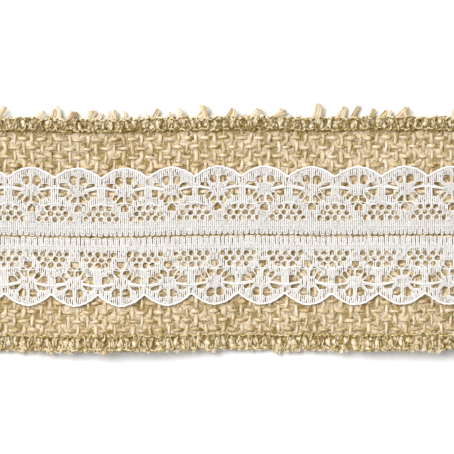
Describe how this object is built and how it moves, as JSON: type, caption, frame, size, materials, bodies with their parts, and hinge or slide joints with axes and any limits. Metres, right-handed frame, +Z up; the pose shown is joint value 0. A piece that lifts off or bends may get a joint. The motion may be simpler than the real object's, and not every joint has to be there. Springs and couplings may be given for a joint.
{
  "type": "table runner",
  "caption": "Narrow woven burlap table runner with overlocked, slightly frayed long edges and two scalloped lace trims stitched back to back along its middle.",
  "frame": {"origin": "middle of the footprint, on the surface that the runner lies on", "axes": "+X along the runner's length, +Y across it towards the more frayed far edge, +Z up"},
  "size_m": [0.457, 0.0676, 0.0024],
  "materials": {
    "jute": "coarse plain-woven natural jute, hairy and matt",
    "overlock_thread": "spun khaki sewing thread, slight sheen",
    "lace_yarn": "white polyester lace yarn, soft sheen",
    "sewing_thread": "off-white spun sewing thread"
  },
  "bodies": {
    "root": {"burlap_cloth": "jute", "far_edge_needle_thread": "overlock_thread", "far_edge_upper_looper_thread": "overlock_thread", "far_edge_lower_looper_thread": "overlock_thread", "near_edge_needle_thread": "overlock_thread", "near_edge_upper_looper_thread": "overlock_thread", "near_edge_lower_looper_thread": "overlock_thread", "far_lace_trim": "lace_yarn", "far_lace_outline_cord": "lace_yarn", "far_lace_stitch_needle_thread": "sewing_thread", "far_lace_stitch_bobbin_thread": "sewing_thread", "near_lace_trim": "lace_yarn", "near_lace_outline_cord": "lace_yarn", "near_lace_stitch_needle_thread": "sewing_thread", "near_lace_stitch_bobbin_thread": "sewing_thread"}
  },
  "joints": []
}
